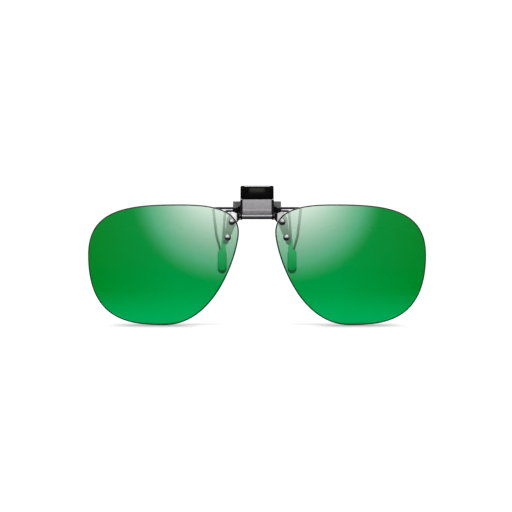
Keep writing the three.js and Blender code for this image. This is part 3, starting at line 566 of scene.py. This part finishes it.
def domed_sheet():
    """One lens on the +X side, in millimetres from the flip axis, as an open domed surface."""
    bm = bmesh.new()
    rim = [bm.verts.new(point) for point in lens_rim()]
    loop = [bm.edges.new((a, b)) for a, b in zip(rim, rim[1:] + rim[:1])]
    middle = sum((v.co for v in rim), Vector()) / len(rim)
    for ring in range(LENS_RINGS):
        grown = bmesh.ops.extrude_edge_only(bm, edges=loop)["geom"]
        verts = [g for g in grown if isinstance(g, bmesh.types.BMVert)]
        edges = [g for g in grown if isinstance(g, bmesh.types.BMEdge)]
        loop = [e for e in edges if all(v in verts for v in e.verts)]
        share = (LENS_RINGS - ring - 1) / (LENS_RINGS - ring)
        bmesh.ops.scale(bm, vec=(share,) * 3, verts=verts, space=Matrix.Translation(-middle))
    bmesh.ops.remove_doubles(bm, verts=bm.verts, dist=1e-4)
    bmesh.ops.dissolve_degenerate(bm, edges=bm.edges, dist=1e-5)
    for vert in bm.verts:
        vert.co.y = dome_y(vert.co.x, vert.co.z, LENS_RADIUS)
    return bm


# %% [markdown]
# The rivets sit square to the lens, on a line that leans with it. The mount frame is that leaning
# place on the back of the lens: rivets, bushings and washers are turned about its depth axis.

# %% Mount frame
RIVETS = {"upper": (9.65, -2.2), "lower": (11.4, -8.2)}
SHANK = 0.55
mount_x = (RIVETS["upper"][0] + RIVETS["lower"][0]) / 2
mount_z = (RIVETS["upper"][1] + RIVETS["lower"][1]) / 2
BACK_RADIUS = LENS_RADIUS - LENS_THICKNESS
mount = Vector((mount_x, dome_y(mount_x, mount_z, BACK_RADIUS), mount_z))
centre_of_curvature = Vector((LENS_CROWN[0], SPHERE_Y, LENS_CROWN[1]))
outward_normal = (mount - centre_of_curvature).normalized()
mount_turn = Vector((0, -1, 0)).rotation_difference(outward_normal).to_matrix().to_4x4()
MOUNT_FRAME = Matrix.Translation(mount) @ mount_turn
FROM_FLIP = Matrix.Translation((0, 0, FLIP.z)) @ Matrix.Scale(MM, 4)
print("mount frame at", [round(v, 2) for v in mount])


def rivet_axis(row):
    """The matrix that takes a turned piece, in metres about Y, to a rivet of the +X lens."""
    x, z = RIVETS[row]
    local = MOUNT_FRAME.inverted() @ Vector((x, mount.y, z))
    place = MOUNT_FRAME @ Matrix.Translation((local.x, 0, local.z))
    return FROM_FLIP @ place @ Matrix.Scale(1 / MM, 4)


def mirrored(bm, sign):
    """The -X copy of a piece is its mirror image."""
    if sign < 0:
        bmesh.ops.scale(bm, vec=(-1, 1, 1), verts=bm.verts)
        bmesh.ops.reverse_faces(bm, faces=bm.faces)
    return bm


# %% [markdown]
# The sheet is thickened, chamfered, and drilled for the rivets. An exact Boolean is the shortest way to
# a clean hole through a curved sheet. It is applied at once, so no live modifier is left on the lens.

# %% Make the lenses
DRILL_RADIUS = 0.95
DRILL_DEPTH = (-4, 3)


def apply_modifiers(piece):
    """The piece's mesh with its modifiers in it."""
    bpy.context.view_layer.update()
    graph = bpy.context.evaluated_depsgraph_get()
    finished = bpy.data.meshes.new_from_object(piece.evaluated_get(graph))
    bpy.data.objects.remove(piece)
    return finished


def drilled(mesh, cutters):
    """Cuts each cutter out of a mesh exactly."""
    work = bpy.data.objects.new("blank", mesh)
    bpy.context.scene.collection.objects.link(work)
    tools = []
    for cutter in cutters:
        tool_mesh = bpy.data.meshes.new("drill")
        cutter.to_mesh(tool_mesh)
        cutter.free()
        tool = bpy.data.objects.new("drill", tool_mesh)
        bpy.context.scene.collection.objects.link(tool)
        cut = work.modifiers.new("drill", "BOOLEAN")
        cut.operation = "DIFFERENCE"
        cut.solver = "EXACT"
        cut.object = tool
        tools.append(tool)
    finished = apply_modifiers(work)
    for tool in tools:
        bpy.data.objects.remove(tool)
    return finished


def make_lens(side, sign):
    """Thickens, chamfers and drills one lens, then paints its rim as a ground edge."""
    bm = domed_sheet()
    front = set(bm.faces)
    grown = bmesh.ops.extrude_face_region(
        bm, geom=bm.faces[:] + bm.edges[:] + bm.verts[:], use_keep_orig=True,
    )
    for vert in (g for g in grown["geom"] if isinstance(g, bmesh.types.BMVert)):
        vert.co.y = dome_y(vert.co.x, vert.co.z, BACK_RADIUS)
    back = {g for g in grown["geom"] if isinstance(g, bmesh.types.BMFace)}
    for face in bm.faces:
        face.material_index = 0 if face in front or face in back else 1
    bmesh.ops.recalc_face_normals(bm, faces=bm.faces)
    corner = [e for e in bm.edges if len({f.material_index for f in e.link_faces}) == 2]
    bevelled = bmesh.ops.bevel(
        bm, geom=corner, offset=LENS_EDGE_BEVEL, offset_type="OFFSET", segments=2, profile=0.5,
        affect="EDGES", clamp_overlap=True, material=-1,
    )
    for face in bevelled["faces"]:
        face.material_index = 1
    bmesh.ops.transform(bm, matrix=FROM_FLIP, verts=bm.verts)
    holes = []
    for row in RIVETS:
        low, high = DRILL_DEPTH
        hole = spun([(0, low), (DRILL_RADIUS, low), (DRILL_RADIUS, high), (0, high)], 32)
        bmesh.ops.transform(hole, matrix=rivet_axis(row), verts=hole.verts)
        bmesh.ops.recalc_face_normals(hole, faces=hole.faces)
        holes.append(mirrored(hole, sign))
    blank = to_mesh(mirrored(bm, sign), f"lens_{side}")
    for material in (LENS_MATERIALS[side], LENS_EDGE):
        blank.materials.append(material)
    mesh = drilled(blank, holes)
    mesh.set_sharp_from_angle(angle=math.radians(12))
    return place_piece(f"lens_{side}", mesh, "lens_carrier", "green_lens")


for side, sign in SIDES.items():
    lens = make_lens(side, sign)
    lens.visible_diffuse = False  # soft light reaches the pads and wires behind it undimmed
    print(lens.name, len(lens.data.polygons), "faces")

# %% [markdown]
# ### Rivets, bushings and washers
# Each is a turned part. The rivet has a polished dome in front, a shank through the lens and a
# closed tail behind; the bushing keeps the metal off the plastic.

# %% Turned fasteners
SEAT = 0.1
FLANGE_FRONT = 0.3
FLANGE_BACK = 0.6
PLATE_THICKNESS = 0.7
WASHER_THICKNESS = 0.25
BORE = SHANK + SEAT
HEAD_RADIUS = 1.3
HEAD_BASE = -LENS_THICKNESS - SEAT
PLATE_BACK = FLANGE_BACK + SEAT + PLATE_THICKNESS
WASHER_FRONT = PLATE_BACK + SEAT
WASHER_BACK = WASHER_FRONT + WASHER_THICKNESS
TAIL = WASHER_BACK + SEAT
dome = [
    (HEAD_RADIUS * math.sin(a), HEAD_BASE - math.cos(a))
    for a in (math.radians(step) for step in range(0, 84, 7))
]
RIVET_PROFILE = dome + [
    (HEAD_RADIUS, HEAD_BASE - 0.08), (HEAD_RADIUS - 0.05, HEAD_BASE),
    (SHANK, HEAD_BASE), (SHANK, TAIL),
    (0.88, TAIL), (0.95, TAIL + 0.08), (0.9, TAIL + 0.3), (0.6, TAIL + 0.47), (0, TAIL + 0.5),
]
BUSHING_PROFILE = rounded_profile([
    (BORE, SEAT - LENS_THICKNESS), (0.8, SEAT - LENS_THICKNESS), (0.8, FLANGE_FRONT),
    (HEAD_RADIUS, FLANGE_FRONT), (HEAD_RADIUS, FLANGE_BACK), (BORE, FLANGE_BACK),
], 0.06, 2)
WASHER_PROFILE = rounded_profile([
    (BORE, WASHER_FRONT), (HEAD_RADIUS, WASHER_FRONT),
    (HEAD_RADIUS, WASHER_BACK), (BORE, WASHER_BACK),
], 0.06, 2)

for side, sign in SIDES.items():
    for row in RIVETS:
        for kind, profile, slot, material in (
            ("rivet", RIVET_PROFILE, "gunmetal", GUNMETAL),
            ("bushing", BUSHING_PROFILE, "clear_plastic", NATURAL_NYLON),
            ("washer", WASHER_PROFILE, "grey_steel", SATIN_STEEL),
        ):
            bm = spun(profile)
            bmesh.ops.transform(bm, matrix=rivet_axis(row), verts=bm.verts)
            mesh = to_mesh(mirrored(bm, sign), f"{kind}_{row}_{side}", 40)
            place_piece(f"{kind}_{row}_{side}", mesh, "lens_carrier", slot, material)
print("12 turned fasteners")

# %% [markdown]
# ### Flip rod and jaw pin
# Both are turned bars with peened heads. The rod has four flats between the cheeks, where the
# leaf spring clicks. A circle is extruded along X through stations, each with its own radius, and
# the flats come from holding the ring's points within the flat distance.

# %% Rod and pin


def bar_along_x(axis, stations, sides=40):
    """A bar from (x, radius, flat) stations in millimetres. flat is None where it is round."""
    bm = bmesh.new()
    turn = Matrix.Rotation(math.pi / 2, 4, "Y")
    bmesh.ops.create_circle(bm, cap_ends=False, radius=1.0, segments=sides, matrix=turn)
    loop = bm.edges[:]
    ring = bm.verts[:]
    unit = [v.co.copy() for v in ring]
    first = loop
    for index, (x, radius, flat) in enumerate(stations):
        if index:
            grown = bmesh.ops.extrude_edge_only(bm, edges=loop)["geom"]
            fresh = [g for g in grown if isinstance(g, bmesh.types.BMVert)]
            edges = [g for g in grown if isinstance(g, bmesh.types.BMEdge)]
            loop = [e for e in edges if all(v in fresh for v in e.verts)]
            ring = sorted(fresh, key=lambda v: math.atan2(v.co.z, v.co.y))
        else:
            ring = sorted(ring, key=lambda v: math.atan2(v.co.z, v.co.y))
            unit = [v.co.copy() for v in ring]
        for vert, direction in zip(ring, unit):
            y, z = direction.y * radius, direction.z * radius
            if flat:
                y, z = max(-flat, min(flat, y)), max(-flat, min(flat, z))
            vert.co = (x, y, z)
    bmesh.ops.contextual_create(bm, geom=first)
    bmesh.ops.contextual_create(bm, geom=loop)
    bmesh.ops.scale(bm, vec=(MM,) * 3, verts=bm.verts)
    bmesh.ops.translate(bm, vec=axis, verts=bm.verts)
    return bm


def headed_bar(neck_x, head_x, radius, head_radius, flat_x=None, flat=None):
    """Stations of a bar with a rounded head at each end, from -X to +X."""
    half = []
    if flat:
        half += [(flat_x, radius, flat), (flat_x + 0.12, radius, None)]
    half += [(neck_x, radius, None), (neck_x, head_radius - 0.08, None)]
    half += [(neck_x + 0.08, head_radius, None)]
    half += [(head_x - 0.18, head_radius, None), (head_x - 0.05, head_radius * 0.86, None)]
    half += [(head_x, head_radius * 0.6, None)]
    return [(-x, r, f) for x, r, f in reversed(half)] + half


rod_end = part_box("flip_rod")[1].x / MM
rod_stations = headed_bar(
    neck_x=7.27, head_x=rod_end, radius=0.75, head_radius=1.05, flat_x=5.4, flat=0.6,
)
rod = bar_along_x(FLIP, rod_stations)
place_piece("flip_rod", to_mesh(rod, "flip_rod", 35), "lens_carrier", "gunmetal", ROD_STEEL)
pin_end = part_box("jaw_pin")[1].x / MM
pin = bar_along_x(PIN, headed_bar(neck_x=6.1, head_x=pin_end, radius=0.6, head_radius=1.0))
place_piece("jaw_pin", to_mesh(pin, "jaw_pin", 35), "front_jaw", "gunmetal", ROD_STEEL)
print("rod and pin")

# %% [markdown]
# ### Pressed sheet parts
# The front frame, the rear frame, the leaf and the two brackets already have their true shape in
# the CAD. What a press and a tumbler add is a broken edge. Each mesh is copied and merged, its flat
# faces are dissolved, and its sharp edges are bevelled by a few hundredths of a millimetre: that
# thin band is what catches the light along the cheeks and the shoulders.

# %% Sheet parts with broken edges


def softened_copy(node, edge_mm):
    """A merged copy of a CAD node with its sharp edges bevelled."""
    bm = bmesh.new()
    bm.from_mesh(frame["nodes"][node].data)
    bmesh.ops.remove_doubles(bm, verts=bm.verts, dist=2e-6)
    bmesh.ops.dissolve_limit(
        bm, angle_limit=math.radians(1.0), verts=bm.verts, edges=bm.edges,
        use_dissolve_boundaries=False,
    )
    sharp = [
        e for e in bm.edges
        if len(e.link_faces) == 2 and e.calc_face_angle(0) > math.radians(32)
    ]
    bmesh.ops.bevel(
        bm, geom=sharp, offset=edge_mm * MM, offset_type="OFFSET", segments=2, profile=0.5,
        affect="EDGES", clamp_overlap=True, material=-1,
    )
    return bm


for node, body, slot, material, edge_mm in (
    ("front_jaw_frame", "front_jaw", "black_steel", BLACK_STEEL, 0.07),
    ("click_spring", "front_jaw", "grey_steel", SATIN_STEEL, 0.06),
    ("rear_jaw_frame", "rear_jaw", "grey_steel", SATIN_STEEL, 0.07),
    ("bracket_left", "lens_carrier", "grey_steel", BRACKET_STEEL, 0.07),
    ("bracket_right", "lens_carrier", "grey_steel", BRACKET_STEEL, 0.07),
):
    piece = place_piece(node, to_mesh(softened_copy(node, edge_mm), node), body, slot, material)
    print(piece.name, len(piece.data.polygons), "faces")

# %% [markdown]
# ### Thumb cap
# A moulded cap over the top of the frame. Its thumb dish is the shallow trapezoid in the front face
# of the CAD shape. A mould leaves softer edges than a press, so the bevel is wider than the steel's.

# %% Thumb cap
cap_mesh = to_mesh(softened_copy("thumb_cap", 0.12), "thumb_cap")
cap = place_piece("thumb_cap", cap_mesh, "front_jaw", "black_plastic", BLACK_NYLON)
print(cap.name, len(cap.data.polygons), "faces")

# %% [markdown]
# ### Wires
# The four prongs and the torsion spring are bent wire. A curve with a round bevel is the natural
# tube: its route is a list of corners in millimetres, each rounded as a bending pin rounds it.

# %% Wire helper
WIRE = 0.45  # radius, in millimetres


def bent(corners, radius, steps=6):
    """Points of a wire through the corners, each rounded to the radius."""
    points = [corners[0]]
    for before, corner, after in zip(corners, corners[1:], corners[2:]):
        into, out = (corner - before), (after - corner)
        tangent = radius * math.tan(into.angle(out) / 2)
        reach = min(tangent, 0.48 * into.length, 0.48 * out.length)
        start, end = corner - into.normalized() * reach, corner + out.normalized() * reach
        first, second = start.lerp(corner, 2 / 3), end.lerp(corner, 2 / 3)
        points += interpolate_bezier(start, first, second, end, steps)
    return points + [corners[-1]]


def wire_mesh(name, points, radius_mm, resolution=4):
    """A closed round tube along the points, as a mesh."""
    curve = bpy.data.curves.new(name, "CURVE")
    curve.dimensions = "3D"
    curve.bevel_depth = radius_mm * MM
    curve.bevel_resolution = resolution
    curve.use_fill_caps = True
    spline = curve.splines.new("POLY")
    spline.points.add(len(points) - 1)
    for point, place in zip(spline.points, points):
        point.co = (*place, 1.0)
    made = bpy.data.objects.new(name, curve)
    bpy.context.scene.collection.objects.link(made)
    bm = bmesh.new()
    bm.from_mesh(apply_modifiers(made))
    return to_mesh(bm, name, 50)


# %% [markdown]
# Each prong is one hairpin. The rear ones run down behind the spectacle rim and then step forward,
# so that their ends meet the front ones across the pads.

# %% Prongs
PAD_X = 13.4
LEG_HALF = 0.55  # from the middle of the pad to the middle of each leg
LEG_MEET_Z = -13.0  # where the outer leg comes down beside the inner one
KINK = (15.5, -7.5)  # where the outer leg starts to close on the inner one
KNEE_X = 16.8
KNEE_SHIFT = 0.6  # the inner leg's knee stands this much nearer the middle than the leg does
ROOT_X = 6.9
UPPER_Z = 3.1
RUN_GAP = 0.2  # between the two runs of a hairpin at the frame
RIM_BOTTOM = -1.2


def prong_points(sign, run_y, grip_y, turn_z):
    """The hairpin: out, down the outer leg, round the end and up the inner leg."""
    outer, inner = PAD_X + LEG_HALF, PAD_X - LEG_HALF
    share = (UPPER_Z - RIM_BOTTOM) / (UPPER_Z - KINK[1])
    lower_z = UPPER_Z - 2 * WIRE - RUN_GAP
    corners = [
        (ROOT_X, run_y, UPPER_Z), (KNEE_X, run_y, UPPER_Z),
        (KNEE_X + (KINK[0] - KNEE_X) * share, run_y, RIM_BOTTOM), (KINK[0], grip_y, KINK[1]),
        (outer, grip_y, LEG_MEET_Z), (outer, grip_y, turn_z),
        (inner, grip_y, turn_z), (inner, grip_y, KINK[1]),
        (inner - KNEE_SHIFT * (1 - share), run_y, RIM_BOTTOM),
        (inner - KNEE_SHIFT, run_y, lower_z), (ROOT_X, run_y, lower_z),
    ]
    return bent([above_flip(sign * x, y, z) for x, y, z in corners], MM)


for side, sign in SIDES.items():
    for jaw in ("front", "rear"):
        node = f"{jaw}_prong_{side}"
        lo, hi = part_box(node)
        turn = (lo.z - FLIP.z) / MM + WIRE
        near, far = (lo.y / MM + WIRE, hi.y / MM - WIRE)
        run_y, grip_y = (near, near) if jaw == "front" else (far, near)
        mesh = wire_mesh(node, prong_points(sign, run_y, grip_y, turn), WIRE)
        place_piece(node, mesh, f"{jaw}_jaw", "wire_steel", PRONG_WIRE)
print("4 prongs")

# %% [markdown]
# ### Jaw spring
# A torsion spring round the pin. Its two legs push the frames apart above the pin. It winds up as
# the jaws open; here it keeps one shape, with its place baked into its mesh.

# %% Jaw spring
COIL_RADIUS = 1.15
COIL_TURNS = 5.5
COIL_HALF = 1.8
POINTS_PER_TURN = 28
SPRING_WIRE_RADIUS = 0.25
LEG_RISE = 1.7  # from the pin up to the end of each leg
BLEND_HALF = 1.5  # half the span that is passed with the spring's blend
spring_lo, spring_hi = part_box("jaw_spring")
coil_steps = round(COIL_TURNS * POINTS_PER_TURN)
leg_z = PIN.z + LEG_RISE * MM
coil = [Vector((-COIL_HALF * MM, spring_lo.y + SPRING_WIRE_RADIUS * MM, leg_z))]
for step in range(coil_steps + 1):
    angle = math.pi + 2 * math.pi * COIL_TURNS * step / coil_steps
    across = -COIL_HALF + 2 * COIL_HALF * step / coil_steps
    turn = Vector((0, math.cos(angle), math.sin(angle))) * COIL_RADIUS
    coil.append(PIN + MM * (turn + Vector((across, 0, 0))))
coil.append(Vector((COIL_HALF * MM, spring_hi.y - SPRING_WIRE_RADIUS * MM, leg_z)))
spring_mesh = wire_mesh("jaw_spring", coil, SPRING_WIRE_RADIUS, 3)
spring = place_piece(
    "jaw_spring", spring_mesh, "front_jaw", "wire_steel", SPRING_WIRE,
    blended=("front_jaw", "rear_jaw", (-BLEND_HALF * MM, 0, 0), (BLEND_HALF * MM, 0, 0)),
)
print(spring.name, len(spring.data.polygons), "faces")

# %% [markdown]
# ### Pads
# Soft boots over the ends of the wires. The CAD solid has the outline, its rounded edges and the
# pocket for the legs. What is left sharp gets the same small bevel as the sheet parts, and smooth
# shading up to 40 degrees joins the facets into the rounded skin of dipped PVC.

# %% Pads
for side in SIDES:
    for jaw, slot, material in (("front", "green_pvc", GREEN_PVC), ("rear", "dark_pvc", GREY_PVC)):
        node = f"{jaw}_pad_{side}"
        mesh = to_mesh(softened_copy(node, 0.08), node, 40)
        place_piece(node, mesh, f"{jaw}_jaw", slot, material)
print("4 pads")

# %% [markdown]
# ## Studio
# A white floor just under the lenses, a white surround and one large soft light from above. Light
# from all round leaves hardly any shadow, so the paper is darkened where something stands close
# above it, which the Ambient Occlusion node measures at every pose.

# %% Floor
FLOOR_DROP = 0.0002
FLOOR_SIZE = 3.0
SHADE_REACH = 0.045
floor_bm = bmesh.new()
bmesh.ops.create_grid(floor_bm, x_segments=1, y_segments=1, size=FLOOR_SIZE)
bmesh.ops.translate(floor_bm, vec=(0, 0, CAD_BOX[0][2] - FLOOR_DROP), verts=floor_bm.verts)
floor_mesh = bpy.data.meshes.new("studio_floor")
floor_bm.to_mesh(floor_mesh)
floor_bm.free()
floor_material, floor_tree, floor_shader = finish("white paper sweep", Roughness=0.9)
floor_noise = add(floor_tree, "ShaderNodeTexNoise", {
    "Vector": object_pattern(floor_tree, (3, 3, 3)), "Scale": 1.0, "Detail": 2.0,
})
paper = ramp(floor_tree, floor_noise.outputs["Fac"], [(0.0, grey(0.97)), (1.0, grey(1.0))])
openness = add(floor_tree, "ShaderNodeAmbientOcclusion", {"Distance": SHADE_REACH}, samples=16)
shade = ramp(floor_tree, openness.outputs["AO"], [
    (0.5, grey(0.38)), (0.8, grey(0.85)), (0.97, grey(1.0)),
])
floor_colour = add(floor_tree, "ShaderNodeMix", {
    "Factor": 1.0, 6: paper, 7: shade,
}, data_type="RGBA", blend_type="MULTIPLY").outputs[2]
floor_tree.links.new(floor_colour, floor_shader.inputs["Base Color"])
floor_mesh.materials.append(floor_material)
floor = bpy.data.objects.new("studio_floor", floor_mesh)
bpy.context.scene.collection.objects.link(floor)
floor.visible_glossy = False  # the lenses and the metal mirror the tent alone
print("floor at", floor_mesh.vertices[0].co.z)

# %% [markdown]
# The surround is white to the eye and to what is seen through the lenses. What the metals and the
# painted metallic glare patch on the lenses mirror is a tent instead: bright above, dark below and
# darker at the sides, so that the rivets and the leaf get a clear highlight and a dark edge. Light
# that has passed through a slightly rough lens counts as glossy too, so the tent is only for rays
# that have not.

# %% Surround and light
SURROUND_STRENGTH = 1.08
world = bpy.data.worlds.new("studio_surround")
world.use_nodes = True
bpy.context.scene.world = world
wt = world.node_tree
path = add(wt, "ShaderNodeLightPath")
ray = add(wt, "ShaderNodeTexCoord").outputs["Generated"]  # in a world, this is the ray's direction
direction = add(wt, "ShaderNodeSeparateXYZ", {"Vector": ray})
height = add(wt, "ShaderNodeMapRange", {
    "Value": direction.outputs["Z"], "From Min": -1.0, "From Max": 1.0,
})
tent_by_height = ramp(wt, height.outputs["Result"], [
    (0.0, grey(0.08)), (0.44, grey(0.03)), (0.5, grey(0.5)), (0.58, grey(0.8)), (0.7, grey(1.3)),
    (0.8, grey(2.8)), (0.89, grey(2.8)), (0.96, grey(0.3)), (1.0, grey(0.15)),
])
front_or_back = add(wt, "ShaderNodeMath", {0: direction.outputs["Y"]}, operation="ABSOLUTE")
tent_by_side = add(wt, "ShaderNodeMapRange", {
    "Value": front_or_back.outputs["Value"],
    "From Min": 0.25, "From Max": 0.8, "To Min": 0.2, "To Max": 1.0,
})
mirrored_tent = add(wt, "ShaderNodeMix", {
    "Factor": 1.0, 6: tent_by_height, 7: tent_by_side.outputs["Result"],
}, data_type="RGBA", blend_type="MULTIPLY").outputs[2]
is_mirrored = add(wt, "ShaderNodeMath", {
    0: path.outputs["Is Glossy Ray"], 1: path.outputs["Is Transmission Ray"],
}, operation="SUBTRACT", use_clamp=True)
surround = add(wt, "ShaderNodeMix", {
    "Factor": is_mirrored.outputs["Value"], 6: grey(1.0), 7: mirrored_tent,
}, data_type="RGBA")
wt.links.new(surround.outputs[2], wt.nodes["Background"].inputs["Color"])
wt.nodes["Background"].inputs["Strength"].default_value = SURROUND_STRENGTH

light_data = bpy.data.lights.new("overhead_softbox", "AREA")
light_data.shape = "RECTANGLE"
light_data.size = 0.5
light_data.size_y = 0.3
light_data.energy = 1.2
light = bpy.data.objects.new("overhead_softbox", light_data)
light.location = (0, -0.12, 0.5)
light.rotation_euler = (math.radians(-13), 0, 0)
bpy.context.scene.collection.objects.link(light)
print("studio ready")
